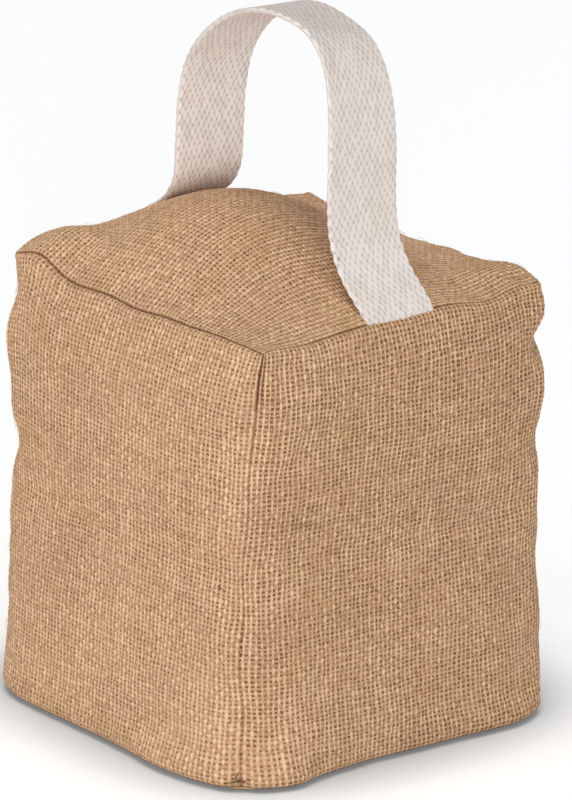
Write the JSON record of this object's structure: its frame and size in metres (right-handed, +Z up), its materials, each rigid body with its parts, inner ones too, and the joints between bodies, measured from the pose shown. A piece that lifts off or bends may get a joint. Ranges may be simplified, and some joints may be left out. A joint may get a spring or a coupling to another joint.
{
  "type": "weighted fabric door stop",
  "caption": "Cube-shaped hessian bag packed with heavy fill, with a flat webbing carrying loop sewn into its top seams; it stands on the floor and holds a door open.",
  "frame": {"origin": "on the floor, under the middle of the bag", "axes": "+Z up; the handle arches along X and its width lies along Y"},
  "size_m": [0.1745, 0.1755, 0.2928],
  "materials": {
    "hessian": "undyed plain-woven jute with open crossings, matt",
    "webbing": "cream cotton webbing with a slanted rib and scalloped edges, matt"
  },
  "bodies": {
    "root": {"hessian_bag": "hessian", "webbing_strap": "webbing"}
  },
  "joints": []
}
